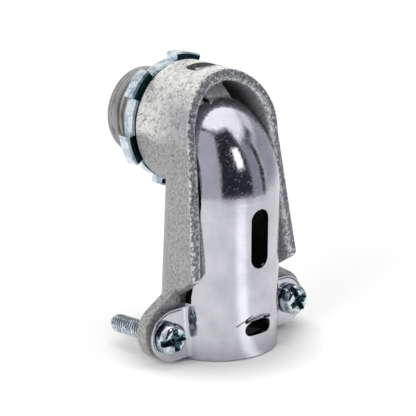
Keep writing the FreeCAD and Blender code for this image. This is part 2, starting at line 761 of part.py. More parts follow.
os.makedirs("parts", exist_ok=True)
for piece in pieces:
    shape = piece.Shape
    if shape.isNull() or not shape.isValid() or len(shape.Solids) != 1:
        raise RuntimeError("%s has no single valid solid" % piece.Label)
    shape.exportStep("parts/%s.step" % piece.Label)
    box = shape.BoundBox
    print("%-12s volume %8.1f  X %6.2f %6.2f  Y %6.2f %6.2f  Z %6.2f %6.2f" % (
        piece.Label, shape.Volume, box.XMin, box.XMax, box.YMin, box.YMax, box.ZMin, box.ZMax))
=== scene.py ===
import math

import bmesh
import bpy
from mathutils import Matrix, Vector


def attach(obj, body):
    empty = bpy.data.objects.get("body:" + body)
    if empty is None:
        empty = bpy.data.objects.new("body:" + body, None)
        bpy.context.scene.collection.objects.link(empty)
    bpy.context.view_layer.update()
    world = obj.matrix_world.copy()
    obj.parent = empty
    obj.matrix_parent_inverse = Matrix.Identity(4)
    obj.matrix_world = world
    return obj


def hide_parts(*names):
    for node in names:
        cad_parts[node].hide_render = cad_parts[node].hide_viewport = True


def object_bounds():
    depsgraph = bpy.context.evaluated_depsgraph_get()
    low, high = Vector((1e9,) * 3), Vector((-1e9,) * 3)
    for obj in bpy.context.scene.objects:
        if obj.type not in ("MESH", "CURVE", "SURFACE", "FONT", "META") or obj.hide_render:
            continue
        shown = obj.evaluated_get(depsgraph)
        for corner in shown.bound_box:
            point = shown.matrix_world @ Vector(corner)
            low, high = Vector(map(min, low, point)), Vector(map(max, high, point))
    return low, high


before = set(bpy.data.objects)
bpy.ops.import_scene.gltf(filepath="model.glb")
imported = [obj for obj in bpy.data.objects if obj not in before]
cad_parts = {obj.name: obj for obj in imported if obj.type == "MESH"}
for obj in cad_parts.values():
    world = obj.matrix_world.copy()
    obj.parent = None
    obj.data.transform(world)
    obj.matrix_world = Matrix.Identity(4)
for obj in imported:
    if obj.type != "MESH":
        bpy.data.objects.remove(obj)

cadLow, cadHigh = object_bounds()
scene = bpy.context.scene
scene.view_settings.view_transform = "Standard"
mm = 0.001
noiseSpan = (0.3, 0.7)  # most of a noise texture lies in here
print("frame loaded:", ", ".join(sorted(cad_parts)))

cameraLook = {  # the photograph's viewpoint
    "place": (-0.19741, -0.21671, 0.11814),
    "right": (0.7468, -0.665, 0.0022),
    "up": (0.1857, 0.2117, 0.9595),
    "sensor": 36,
    "lens": 116.9,
}


def makeCamera(look):
    data = bpy.data.cameras.new("photoCamera")
    data.sensor_width = look["sensor"]
    data.lens = look["lens"]
    data.clip_start, data.clip_end = 0.01, 20
    camera = bpy.data.objects.new("photoCamera", data)
    right = Vector(look["right"]).normalized()
    up = Vector(look["up"])
    up = (up - right * right.dot(up)).normalized()
    turn = Matrix((right, up, right.cross(up))).transposed().to_4x4()
    camera.matrix_world = Matrix.Translation(look["place"]) @ turn
    scene.collection.objects.link(camera)
    scene.camera = camera


makeCamera(cameraLook)
print("camera set")


# small helpers for node finishes, which all work in millimetres
def newFinish(name, **sockets):
    finish = bpy.data.materials.new(name)
    finish.use_nodes = True
    tree = finish.node_tree
    tree.nodes.clear()
    output = tree.nodes.new("ShaderNodeOutputMaterial")
    shader = tree.nodes.new("ShaderNodeBsdfPrincipled")
    tree.links.new(shader.outputs["BSDF"], output.inputs["Surface"])
    for socket, number in sockets.items():
        shader.inputs[socket].default_value = number
    return finish, tree, shader


def addNode(tree, kind, inputs=(), **settings):
    node = tree.nodes.new("ShaderNode" + kind)
    for setting, choice in settings.items():
        setattr(node, setting, choice)
    for socket, source in dict(inputs).items():
        if isinstance(source, bpy.types.NodeSocket):
            tree.links.new(source, node.inputs[socket])
        else:
            node.inputs[socket].default_value = source
    return node


def sums(tree, operation, first, second=0.0, third=0.0):
    inputs = {0: first, 1: second, 2: third}
    return addNode(tree, "Math", inputs, operation=operation).outputs[0]


def spot(tree):
    place = addNode(tree, "TexCoord").outputs["Object"]  # metres, in the shared frame
    inputs = {0: place, "Scale": 1 / mm}
    scaled = addNode(tree, "VectorMath", inputs, operation="SCALE").outputs[0]
    axes = addNode(tree, "SeparateXYZ", {0: scaled}).outputs
    return scaled, axes["X"], axes["Y"], axes["Z"]


def facingY(tree):
    way = addNode(tree, "TexCoord").outputs["Normal"]
    return addNode(tree, "SeparateXYZ", {0: way}).outputs["Y"]


def reach(tree, first, second):
    both = sums(tree, "MULTIPLY_ADD", second, second, sums(tree, "MULTIPLY", first, first))
    return sums(tree, "SQRT", both)


def choose(tree, fac, first, second):
    return sums(tree, "MULTIPLY_ADD", fac, sums(tree, "SUBTRACT", second, first), first)


def grain(tree, at, size, detail=2.0, rough=0.5, stretch=None, warp=0.0):
    if stretch is not None:
        at = addNode(tree, "Mapping", {"Vector": at, "Scale": stretch}).outputs[0]
    noise = addNode(tree, "TexNoise", {"Vector": at, "Scale": 1 / size, "Detail": detail,
                                       "Roughness": rough, "Distortion": warp})
    return noise.outputs["Fac"]


def spread(tree, fac, low, high, toLow=0.0, toHigh=1.0):
    node = addNode(tree, "MapRange", {"Value": fac, "From Min": low, "From Max": high,
                                      "To Min": toLow, "To Max": toHigh})
    return node.outputs["Result"]


def mixColour(tree, fac, first, second):
    first = (*first, 1) if isinstance(first, tuple) else first
    second = (*second, 1) if isinstance(second, tuple) else second
    return addNode(tree, "Mix", {0: fac, 6: first, 7: second}, data_type="RGBA").outputs[2]


def dent(tree, height, depth, strength=1.0, after=None):
    inputs = {"Height": height, "Distance": depth * mm, "Strength": strength}
    if after is not None:
        inputs["Normal"] = after
    return addNode(tree, "Bump", inputs).outputs["Normal"]


def blendTwo(tree, first, second, share):
    return sums(tree, "MULTIPLY_ADD", first, share, sums(tree, "MULTIPLY", second, 1 - share))


def join(tree, shader, **sources):
    for socket, source in sources.items():
        tree.links.new(source, shader.inputs[socket.replace("_", " ")])


castLook = {
    "saddle": (0.44, 0.435, 0.435),
    "saddleDark": (0.20, 0.20, 0.20),
    "hood": (1.0, 0.99, 0.965),
    "hoodGrey": (0.60, 0.60, 0.61),
    "hoodHollowShade": (0.24, 0.235, 0.23),
    "lipFace": (0.14, 0.15, 0.175),
    "lipEdgeHighlight": (0.82, 0.84, 0.88),
    "innerEdge": (0.55, 0.30),  # painted highlight beside the inner wall too
    "hoodFrom": 48.4,  # height at which the crumpled skin of the hood begins; above it the skin is also painted lighter, as lit from above
    "hoodTo": 50.4,
    "paleFrom": (0.5, 7.5),  # the skin is palest at the back, and painted palest on the crown as lit from above
    "crownFrom": (56.0, 60.0),
    "sandSize": 0.62,
    "sandDepth": 0.26,
    "sandStrength": 0.75,
    "sandTone": (0.35, 0.60),
    "crumpleSize": 1.5,
    "crumpleWarp": 1.5,
    "crumpleDepth": 2.2,
    "crumpleStrength": (0.16, 0.9),  # on the saddle and on the hood
    "crumpleShare": 0.7,
    "hollowShadeTone": (0.32, 0.52),
    "cloudSize": 6.0,
    "ragged": 4.0,  # the crumpled skin ends on a ragged line
    "lipWaver": 0.22,
    "edgeDepth": (0.75, 0.5),
    "edgeTone": (0.42, 0.62),
    "faceDepth": (0.22, 0.06),
    "faceTone": (0.35, 0.75),
    "innerTone": (0.42, 0.58),
    "roughness": (0.26, 0.52),
    "metal": (0.55, 0.92),  # the hood's skin glints more than the saddle
}
lipLine = {  # the front edge of the casting, straight and then an arc
    "cornerY": -8.6,
    "cornerZ": 19.9,
    "lean": math.radians(8.5),
    "sweep": 45.0,
    "footZ": 52.2,
    "innerLines": ((16.265, -0.111), (14.349, -0.053)),  # half the width between the walls, by height
    "hoodZ": 50.2,
    "hoodInner": 11.7,
}


def lipDepth(tree, y, z, line):
    slope = math.tan(line["lean"])
    footY = line["cornerY"] + (line["footZ"] - line["cornerZ"]) * slope
    arcY = footY + line["sweep"] * math.cos(line["lean"])
    arcZ = line["footZ"] - line["sweep"] * math.sin(line["lean"])
    lipY = sums(tree, "MULTIPLY_ADD", z, slope, line["cornerY"] - line["cornerZ"] * slope)
    straight = sums(tree, "MULTIPLY", sums(tree, "SUBTRACT", y, lipY), math.cos(line["lean"]))
    out = reach(tree, sums(tree, "SUBTRACT", y, arcY), sums(tree, "SUBTRACT", z, arcZ))
    arc = sums(tree, "SUBTRACT", line["sweep"], out)
    return choose(tree, sums(tree, "GREATER_THAN", z, line["footZ"]), straight, arc)


def lipInset(tree, x, z, line):
    walls = [sums(tree, "MULTIPLY_ADD", z, slope, start) for start, slope in line["innerLines"]]
    wall = sums(tree, "MAXIMUM", *walls)
    straight = sums(tree, "SUBTRACT", sums(tree, "ABSOLUTE", x), wall)
    out = reach(tree, x, sums(tree, "SUBTRACT", z, line["hoodZ"]))
    arched = sums(tree, "SUBTRACT", out, line["hoodInner"])
    return choose(tree, sums(tree, "GREATER_THAN", z, line["hoodZ"]), straight, arched)


def castZinc(look, line):
    finish, tree, shader = newFinish("castZinc")
    at, x, y, z = spot(tree)
    sand = grain(tree, at, look["sandSize"], 3.0, 0.6)
    crumple = grain(tree, at, look["crumpleSize"], 4.0, 0.62, None, look["crumpleWarp"])
    cloud = grain(tree, at, look["cloudSize"], 2.0, 0.5)
    edge = sums(tree, "MULTIPLY_ADD", cloud, look["ragged"], -look["ragged"] / 2)
    hood = spread(tree, sums(tree, "ADD", z, edge), look["hoodFrom"], look["hoodTo"])
    sandTone = spread(tree, sand, *look["sandTone"])
    saddle = mixColour(tree, sandTone, look["saddleDark"], look["saddle"])
    flake = blendTwo(tree, crumple, sand, look["crumpleShare"])
    crown = spread(tree, z, *look["crownFrom"])
    pale = sums(tree, "MAXIMUM", spread(tree, y, *look["paleFrom"]), crown)
    skin = mixColour(tree, pale, look["hoodGrey"], look["hood"])
    # painted shade: where the crumple and the grain dip, the hood's skin is painted dark, along with the
    # grain's own tone
    skin = mixColour(tree, spread(tree, flake, *look["hollowShadeTone"]), look["hoodHollowShade"], skin)
    # painted light: the hood's skin is painted far lighter than the saddle below it
    body = mixColour(tree, hood, saddle, skin)
    depth = lipDepth(tree, y, z, line)
    waver = spread(tree, sand, *noiseSpan, -look["lipWaver"], look["lipWaver"])
    depth = sums(tree, "ADD", depth, waver)
    # painted highlight and rubbed wear along the lip's rounded front edge
    edgeTone = spread(tree, sand, *look["edgeTone"])
    rubbed = sums(tree, "MULTIPLY", spread(tree, depth, *look["edgeDepth"]), edgeTone)
    body = mixColour(tree, rubbed, body, look["lipEdgeHighlight"])
    face = mixColour(tree, spread(tree, sand, *look["faceTone"]), look["lipFace"], look["saddle"])
    onFace = spread(tree, depth, *look["faceDepth"])
    body = mixColour(tree, onFace, body, face)
    # painted highlight along the lip's inner edge
    inner = spread(tree, lipInset(tree, x, z, line), *look["innerEdge"])
    inner = sums(tree, "MULTIPLY", inner, spread(tree, sand, *look["innerTone"]))
    inner = sums(tree, "MULTIPLY", inner, onFace)
    body = mixColour(tree, inner, body, look["lipEdgeHighlight"])
    join(tree, shader, Base_Color=body)
    join(tree, shader, Metallic=spread(tree, hood, 0.0, 1.0, *look["metal"]))
    join(tree, shader, Roughness=spread(tree, sand, *noiseSpan, *look["roughness"]))
    strength = spread(tree, hood, 0.0, 1.0, *look["crumpleStrength"])
    coarse = dent(tree, crumple, look["crumpleDepth"], strength)
    join(tree, shader, Normal=dent(tree, sand, look["sandDepth"], look["sandStrength"], coarse))
    return finish


insideShadeLook = {
    "pale": (0.50, 0.505, 0.51),
    "dark": (0.075, 0.077, 0.08),
    "rimHighlight": (0.88, 0.90, 0.93),
    "litDepth": (9.0, 1.0),  # lighter towards the open front
    "rimDepth": (1.3, 0.8),
    "rimTone": (0.38, 0.60),
    "slotZ": (60.5, 63.0),
    "slotShade": 0.35,
    "sandSize": 0.7,
    "sandTone": (0.25, 0.62),
    "sandDepth": 0.16,
    "roughness": (0.45, 0.7),
}


# painted shade: the casting's inner faces are painted dark, lighter towards the open front and in the
# hook's slot
def castInsideShade(look, line):
    finish, tree, shader = newFinish("castInsideShade", Metallic=0.3)
    at, x, y, z = spot(tree)
    sand = grain(tree, at, look["sandSize"], 3.0, 0.6)
    depth = lipDepth(tree, y, z, line)
    slot = spread(tree, z, *look["slotZ"], 0.0, look["slotShade"])
    near = sums(tree, "MAXIMUM", spread(tree, depth, *look["litDepth"]), slot)
    shade = sums(tree, "MULTIPLY", near, spread(tree, sand, *look["sandTone"], 0.25, 1.0))
    skin = mixColour(tree, shade, look["dark"], look["pale"])
    # painted highlight: bright sparkles along the inner faces' front rim
    rimHighlight = spread(tree, depth, *look["rimDepth"])
    rimHighlight = sums(tree, "MULTIPLY", rimHighlight, spread(tree, sand, *look["rimTone"]))
    join(tree, shader, Base_Color=mixColour(tree, rimHighlight, skin, look["rimHighlight"]))
    join(tree, shader, Roughness=spread(tree, sand, *noiseSpan, *look["roughness"]))
    join(tree, shader, Normal=dent(tree, sand, look["sandDepth"], 0.8))
    return finish


threadLook = {"crest": (0.39, 0.385, 0.385), "root": (0.14, 0.14, 0.15), "roughness": (0.18, 0.36)}
# painted shade in the nipple's deep thread grooves
rootShadeLook = {"crest": (0.22, 0.205, 0.19), "root": (0.08, 0.075, 0.07), "roughness": (0.3, 0.5)}
toolMarks = {"size": 7.0, "stretch": (1, 16, 1), "depth": 0.12, "share": 0.65, "tone": (0.38, 0.60)}


def cutThread(name, look, marking):
    finish, tree, shader = newFinish(name, Metallic=0.9)
    at = spot(tree)[0]
    marks = grain(tree, at, marking["size"], 3.0, 0.6, marking["stretch"])  # run round the nipple
    shade = blendTwo(tree, marks, grain(tree, at, 3.0, 4.0, 0.6), marking["share"])
    tone = spread(tree, shade, *marking["tone"])
    join(tree, shader, Base_Color=mixColour(tree, tone, look["root"], look["crest"]))
    join(tree, shader, Roughness=spread(tree, marks, *noiseSpan, *look["roughness"]))
    join(tree, shader, Normal=dent(tree, marks, marking["depth"], 0.6))
    return finish


coverLook = {
    "bright": (0.54, 0.54, 0.58),
    "dull": (0.45, 0.45, 0.49),
    "inside": (0.012, 0.012, 0.014),
    "tongue": (0.68, 0.68, 0.67),
    "tear": (0.02, 0.015, 0.015),
    "press": (0.008, 0.014, 0.06),
    "roughness": (0.075, 0.17),
    "cloudSize": 5.0,
    "cloudTone": (0.35, 0.68),
    "speckSize": 0.45,
    "speckDepth": 0.014,
    "rubbedSize": 1.4,  # faint streaks down the sheet
    "rubbedStretch": (1, 1, 0.12),
    "rubbedDepth": 0.035,
    "glossTone": (0.36, 0.66),
    "insideDull": 0.5,
    "waveSize": 3.4,
    "waveDepth": 0.09,
    "frost": 0.24,
    "frostSize": 0.9,
    "frostTone": (0.54, 0.68),
    "frostFrom": (34.0, 37.0),  # the drawn dome is frosted in specks
    "axisY": 1.3,  # centre line of the bent tube
    "bendY": 10.3,
    "bendZ": 36.3,
    "bendRadius": 9.0,
    "skinRadius": 13.2,  # what lies nearer to the centre line is the inside, painted in shade
    "flankX": (9.5, 10.5),  # the flanks' cut edges stay out of the painted inside shade
    "flankEdge": 0.45,
    "tongueFrom": (57.2, 57.8),
    "tongueDull": 0.22,
    "tongueMetal": 0.15,  # rubbed dull
    "tongueGrain": (1, 0.15, 0.15),
    "tongueTone": (0.35, 0.6),
    "hookFrom": (61.3, 62.1),  # painted shade: the hook's top is painted dark where it lies in the slot, with its sides left bright
    "hook": (0.13, 0.13, 0.135),
    "hookSide": (2.55, 2.95),
    "tearLine": ((-6.1, 8.0), (-1.6, 10.5), 0.20),  # beside the lanced opening: from, to, width
    "pressLine": ((-3.7, 8.75), (1.9, 9.75), 0.26),  # painted shadow of the fold above the opening
    "lineWaver": 0.12,
    "earX": 17.45,
    "earZ": 6.74,
    "earInner": 14.6,
    "earRoll": (5.1, 5.3, 5.5, 5.65),  # painted shade: a dark line inside the ear's rolled edge
    "rollShade": (0.12, 0.12, 0.16),
}


def tubeRadius(tree, x, y, z, look):
    straight = reach(tree, x, sums(tree, "SUBTRACT", y, look["axisY"]))
    outY, outZ = sums(tree, "SUBTRACT", y, look["bendY"]), sums(tree, "SUBTRACT", z, look["bendZ"])
    out = reach(tree, outY, outZ)
    bent = reach(tree, x, sums(tree, "SUBTRACT", out, look["bendRadius"]))
    return choose(tree, sums(tree, "GREATER_THAN", z, look["bendZ"]), straight, bent)


def frontLine(tree, x, y, z, line, waver):
    (fromX, fromZ), (toX, toZ), width = line
    slope = (toZ - fromZ) / (toX - fromX)
    lineZ = sums(tree, "MULTIPLY_ADD", x, slope, fromZ - fromX * slope)
    off = sums(tree, "ABSOLUTE", sums(tree, "ADD", sums(tree, "SUBTRACT", z, lineZ), waver))
    mask = spread(tree, off, width, width * 0.5)
    mask = sums(tree, "MULTIPLY", mask, spread(tree, x, fromX, fromX + 0.5))
    mask = sums(tree, "MULTIPLY", mask, spread(tree, x, toX, toX - 1.0))
    return sums(tree, "MULTIPLY", mask, sums(tree, "LESS_THAN", y, 0.0))


def earRoll(tree, x, y, z, look):
    across = sums(tree, "ABSOLUTE", x)
    beyond = sums(tree, "MAXIMUM", sums(tree, "SUBTRACT", across, look["earX"]), 0.0)
    out = reach(tree, beyond, sums(tree, "SUBTRACT", z, look["earZ"]))
    inFrom, inTo, outFrom, outTo = look["earRoll"]
    line = sums(tree, "MULTIPLY", spread(tree, out, inFrom, inTo), spread(tree, out, outTo, outFrom))
    line = sums(tree, "MULTIPLY", line, spread(tree, z, look["earZ"] - 1, look["earZ"] + 3))
    return sums(tree, "MULTIPLY", line, sums(tree, "GREATER_THAN", across, look["earInner"]))


def brightPlate(look):
    finish, tree, shader = newFinish("brightPlate")
    at, x, y, z = spot(tree)
    cloud = grain(tree, at, look["cloudSize"], 3.0, 0.55)
    speck = grain(tree, at, look["speckSize"], 2.0, 0.5)
    rubbed = grain(tree, at, look["rubbedSize"], 3.0, 0.6, look["rubbedStretch"])
    skin = mixColour(tree, spread(tree, cloud, *look["cloudTone"]), look["bright"], look["dull"])
    streak = grain(tree, at, 0.5, 2.0, 0.6, look["tongueGrain"])
    strip = mixColour(tree, spread(tree, streak, *look["tongueTone"]), look["dull"], look["tongue"])
    tongue = spread(tree, z, *look["tongueFrom"])
    skin = mixColour(tree, tongue, skin, strip)
    hookSide = spread(tree, sums(tree, "ABSOLUTE", x), *look["hookSide"], 1.0, 0.0)
    # painted shade on the hook's top in the slot
    hookTop = sums(tree, "MULTIPLY", spread(tree, z, *look["hookFrom"]), hookSide)
    skin = mixColour(tree, hookTop, skin, look["hook"])
    waver = spread(tree, grain(tree, at, 1.2), *noiseSpan, -look["lineWaver"], look["lineWaver"])
    # the tear line, and the fold's painted shadow
    for line, colour in ((look["tearLine"], look["tear"]), (look["pressLine"], look["press"])):
        skin = mixColour(tree, frontLine(tree, x, y, z, line, waver), skin, colour)
    # painted shade inside the ear's rolled edge
    skin = mixColour(tree, earRoll(tree, x, y, z, look), skin, look["rollShade"])
    flank = spread(tree, sums(tree, "ABSOLUTE", x), *look["flankX"], 0.0, look["flankEdge"])
    radius = sums(tree, "ADD", tubeRadius(tree, x, y, z, look), flank)
    inner = spread(tree, radius, look["skinRadius"], look["skinRadius"] - 0.2)
    # painted shade on the cover's inside
    join(tree, shader, Base_Color=mixColour(tree, inner, skin, look["inside"]))
    gloss = blendTwo(tree, rubbed, speck, 0.5)
    gloss = spread(tree, gloss, *look["glossTone"], *look["roughness"])
    gloss = sums(tree, "MULTIPLY_ADD", tongue, look["tongueDull"], gloss)
    frost = grain(tree, at, look["frostSize"], 5.0, 0.75)
    frost = spread(tree, frost, *look["frostTone"], 0.0, look["frost"])
    frost = sums(tree, "MULTIPLY", frost, spread(tree, z, *look["frostFrom"]))
    gloss = sums(tree, "ADD", gloss, frost)
    join(tree, shader, Roughness=sums(tree, "MULTIPLY_ADD", inner, look["insideDull"], gloss))
    join(tree, shader, Metallic=spread(tree, tongue, 0.0, 1.0, 1.0, look["tongueMetal"]))
    wave = dent(tree, grain(tree, at, look["waveSize"], 2.0, 0.45), look["waveDepth"], 0.4)
    wave = dent(tree, rubbed, look["rubbedDepth"], 0.4, wave)
    join(tree, shader, Normal=dent(tree, speck, look["speckDepth"], 0.4, wave))
    return finish


nutLook = {
    "bright": (0.68, 0.75, 0.80),
    "dull": (0.26, 0.36, 0.44),
    "shaded": (0.012, 0.045, 0.055),
    "glintSpeck": (0.93, 0.95, 0.97),
    "cloudTone": (0.42, 0.64),
    "glintSpeckTone": (0.60, 0.72),
    "shadedTo": (-0.55, -0.85),  # painted shade: the inner face, which looks back along the nipple, is painted dark
    "roughness": (0.10, 0.26),
}


def nutZinc(look):
    finish, tree, shader = newFinish("nutZinc", Metallic=1.0)
    at, x, y, z = spot(tree)
    cloud = grain(tree, at, 2.0, 4.0, 0.65)
    speck = grain(tree, at, 0.4, 2.0, 0.5)
    skin = mixColour(tree, spread(tree, cloud, *look["cloudTone"]), look["bright"], look["dull"])
    # painted glints: small white specks on the nut
    skin = mixColour(tree, spread(tree, speck, *look["glintSpeckTone"]), skin, look["glintSpeck"])
    # painted shade on the nut's inner face
    skin = mixColour(tree, spread(tree, facingY(tree), *look["shadedTo"]), skin, look["shaded"])
    join(tree, shader, Base_Color=skin)
    join(tree, shader, Roughness=spread(tree, speck, *noiseSpan, *look["roughness"]))
    join(tree, shader, Normal=dent(tree, cloud, 0.25, 0.6, dent(tree, speck, 0.05, 0.6)))
    return finish


screwLook = {"bright": (0.68, 0.73, 0.75), "dull": (0.34, 0.42, 0.46), "glint": (0.90, 0.93, 0.94),
             "foot": (0.02, 0.03, 0.035), "roughness": (0.06, 0.17), "blotch": 1.6}
# painted shade in the heads' drive recess
recessShadeLook = {"bright": (0.05, 0.135, 0.165), "dull": (0.002, 0.005, 0.007), "glint": (0.62, 0.72, 0.75),
              "foot": (0.002, 0.005, 0.007), "roughness": (0.10, 0.28), "blotch": 0.7}
# painted shade in the screws' deep thread grooves
grooveShadeLook = {"bright": (0.20, 0.25, 0.26), "dull": (0.05, 0.07, 0.07), "glint": (0.50, 0.56, 0.58),
              "foot": (0.02, 0.03, 0.035), "roughness": (0.2, 0.4), "blotch": 1.2}
headLine = {"y": -3.494, "z": 6.739, "tilt": math.radians(5), "seatShadeHigh": 0.32}  # the heads' seat
blueTone = {"cloud": (0.42, 0.58), "glint": (0.64, 0.72)}


def blueZinc(name, look, line, tone):
    finish, tree, shader = newFinish(name, Metallic=1.0)
    at, x, y, z = spot(tree)
    cloud = grain(tree, at, look["blotch"], 3.0, 0.6)
    speck = grain(tree, at, 0.35, 2.0, 0.5)
    skin = mixColour(tree, spread(tree, cloud, *tone["cloud"]), look["bright"], look["dull"])
    skin = mixColour(tree, spread(tree, speck, *tone["glint"]), skin, look["glint"])
    ahead = sums(tree, "MULTIPLY", sums(tree, "SUBTRACT", line["y"], y), math.cos(line["tilt"]))
    above = sums(tree, "SUBTRACT", z, line["z"])
    ahead = sums(tree, "MULTIPLY_ADD", above, math.sin(line["tilt"]), ahead)
    foot = sums(tree, "MULTIPLY", spread(tree, ahead, line["seatShadeHigh"], line["seatShadeHigh"] * 0.5),
                sums(tree, "GREATER_THAN", ahead, -0.1))
    join(tree, shader, Base_Color=mixColour(tree, foot, skin, look["foot"]))  # painted shade: a dark ring round the foot of the head
    join(tree, shader, Roughness=spread(tree, speck, *noiseSpan, *look["roughness"]))
    join(tree, shader, Normal=dent(tree, speck, 0.02, 0.4))
    return finish


castFinish = castZinc(castLook, lipLine)
insideShadeFinish = castInsideShade(insideShadeLook, lipLine)
threadFinish = cutThread("threadCrest", threadLook, toolMarks)
rootShadeFinish = cutThread("threadRootShade", rootShadeLook, toolMarks)
coverFinish = brightPlate(coverLook)
nutFinish = nutZinc(nutLook)
screwFinish = blueZinc("screwZinc", screwLook, headLine, blueTone)
recessShadeFinish = blueZinc("recessShadeZinc", recessShadeLook, headLine, blueTone)
grooveShadeFinish = blueZinc("grooveShadeZinc", grooveShadeLook, headLine, blueTone)
print("finishes made")


# a piece that takes the place of a solid keeps its surface and gets the thread cut in
def openCopy(node, leavesOut):
    work = bmesh.new()
    work.from_mesh(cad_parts[node].data)
    bmesh.ops.remove_doubles(work, verts=work.verts, dist=0.001 * mm)
    gone = [face for face in work.faces if leavesOut(face)]
    bmesh.ops.delete(work, geom=gone, context="FACES")
    return work


def turnedThread(work, stand, radiusAt, length, rings, around, slotAt):
    rows = []
    for ring in range(rings + 1):
        along = length * ring / rings
        row = []
        for step in range(around):
            angle = 2 * math.pi * step / around
            radius = radiusAt(along, angle)
            place = Vector((radius * math.cos(angle), radius * math.sin(angle), along))
            row.append(work.verts.new(stand @ place))
        rows.append(row)
    for ring, (lower, upper) in enumerate(zip(rows, rows[1:])):
        for step in range(around):
            after = (step + 1) % around
            face = work.faces.new((lower[step], lower[after], upper[after], upper[step]))
            along = length * (ring + 0.5) / rings
            face.material_index = slotAt(along, 2 * math.pi * (step + 0.5) / around)
            face.smooth = True
    return rows


threadShape = {"root": 0.12, "flank": 0.70}  # shares of half a pitch


def threadForm(along, angle, pitch):
    turn = along / pitch - angle / (2 * math.pi)
    tooth = abs(2 * (turn - math.floor(turn)) - 1)  # 0 in the groove, 1 on the crest
    tooth = min(1.0, max(0.0, (tooth - threadShape["root"]) / threadShape["flank"]))
    return tooth * tooth * (3 - 2 * tooth)


def finishPiece(work, name, node, body, finishes, sharp=35):
    mesh = bpy.data.meshes.new(name)
    work.to_mesh(mesh)
    work.free()
    for finish in finishes:
        mesh.materials.append(finish)
    mesh.set_sharp_from_angle(angle=math.radians(sharp))
    piece = bpy.data.objects.new(name, mesh)
    scene.collection.objects.link(piece)
    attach(piece, body)
    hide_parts(node)
    return piece


nippleSize = {
    "height": 50.2 * mm,
    "radius": 10.5 * mm,
    "from": 13.55 * mm,
    "to": 28.0 * mm,
    "pitch": 1.814 * mm,
    "depth": 0.5 * mm,
    "plainTip": 0.9 * mm,  # smooth at the tip
    "runOut": 4.5 * mm,  # over which the thread fades before it
    "darkCut": 0.42,  # share of the depth beyond which a groove is painted in shade
    "earX": 15.6 * mm,  # beyond this lie the ears
    "slotX": 4.5 * mm,
    "slotFrom": 3.4 * mm,
    "slotTo": 8.5 * mm,
    "slotUp": 11.3 * mm,
    "leadIn": 0.5 * mm,  # over which the thread starts
    "hoodBelow": 6 * mm,
    "backFrom": 5 * mm,
    "backPast": 1 * mm,
    "rings": 110,
    "around": 112,
    "sharp": 20,
}


def makeCasting(size):
    axis = Vector((0, 0, size["height"]))
    slack = 0.03 * mm

    def onThread(face):
        for corner in face.verts:
            off = corner.co - axis
            if not -size["depth"] - slack < math.hypot(off.x, off.z) - size["radius"] < slack:
                return False
            if not size["from"] - slack < off.y < size["to"] + slack:
                return False
        return True

    work = openCopy("elbow_body", onThread)
    length = size["to"] - size["from"]

    def cutAt(along, angle):
        ends = min(1.0, (length - size["plainTip"] - along) / size["runOut"], along / size["leadIn"])
        return max(0.0, ends) * (1 - threadForm(along, angle, size["pitch"]))

    def radiusAt(along, angle):
        return size["radius"] - size["depth"] * cutAt(along, angle)

    def slotAt(along, angle):
        # the deeper grooves take the painted shade
        return 3 if cutAt(along, angle) > size["darkCut"] else 1

    # local Z runs along the nipple
    stand = Matrix(((1, 0, 0, 0), (0, 0, 1, size["from"]), (0, -1, 0, size["height"]), (0, 0, 0, 1)))
    turnedThread(work, stand, radiusAt, length, size["rings"], size["around"], slotAt)

    for face in work.faces:
        face.smooth = True
        middle = face.calc_center_median()
        up = middle.z - size["height"]
        if middle.y > size["from"] + slack:
            face.material_index = max(1, face.material_index)  # tip and bore are machined too
        elif abs(middle.x) < size["slotX"] and size["slotFrom"] < middle.y < size["slotTo"] and \
                up > size["slotUp"] and abs(face.normal.z) < 0.6:
            face.material_index = 2  # walls of the hook's slot, in the painted inside shade
        elif abs(middle.x) < size["earX"]:
            if up > -size["hoodBelow"]:  # inside the hood, round the nipple's line
                toward = -(face.normal.x * middle.x + face.normal.z * up)
                off = math.hypot(middle.x, up)
                deep = face.normal.y < -0.8 and middle.y > size["backFrom"]
                deep = deep and off < size["radius"] + size["backPast"]
            else:  # inside the channel, round the conduit's line
                toward = -(face.normal.x * middle.x + face.normal.y * max(0.0, middle.y))
                off = math.hypot(middle.x, max(0.0, middle.y))
                deep = False
            # faces turned in towards the channel, or back round the nipple, get the painted inside shade
            if toward > 0.4 * off or deep:
                face.material_index = 2
    return finishPiece(work, "cast_elbow", "elbow_body", "casting",
                       (castFinish, threadFinish, insideShadeFinish, rootShadeFinish), size["sharp"])


makeCasting(nippleSize)
print("casting made")

screwSize = {
    "seatX": 19.0 * mm,
    "seatY": -3.494 * mm,
    "seatZ": 6.739 * mm,
    "tilt": math.radians(5),
    "radius": 2.085 * mm,
    "length": 19.0 * mm,
    "tip": 1.3 * mm,
    "tipRadius": 1.45 * mm,
    "pitch": 0.794 * mm,
    "depth": 0.42 * mm,
    "headHeight": 2.9 * mm,
    "headRadius": 3.55 * mm,
    # beyond this share of the depth a groove is painted in shade
    "darkCut": 0.55,
    "tipRunOut": 0.6 * mm,
    "headRunOut": 0.3 * mm,
    "recessFrom": 0.5 * mm,
    "rings": 208,
    "around": 44,
}


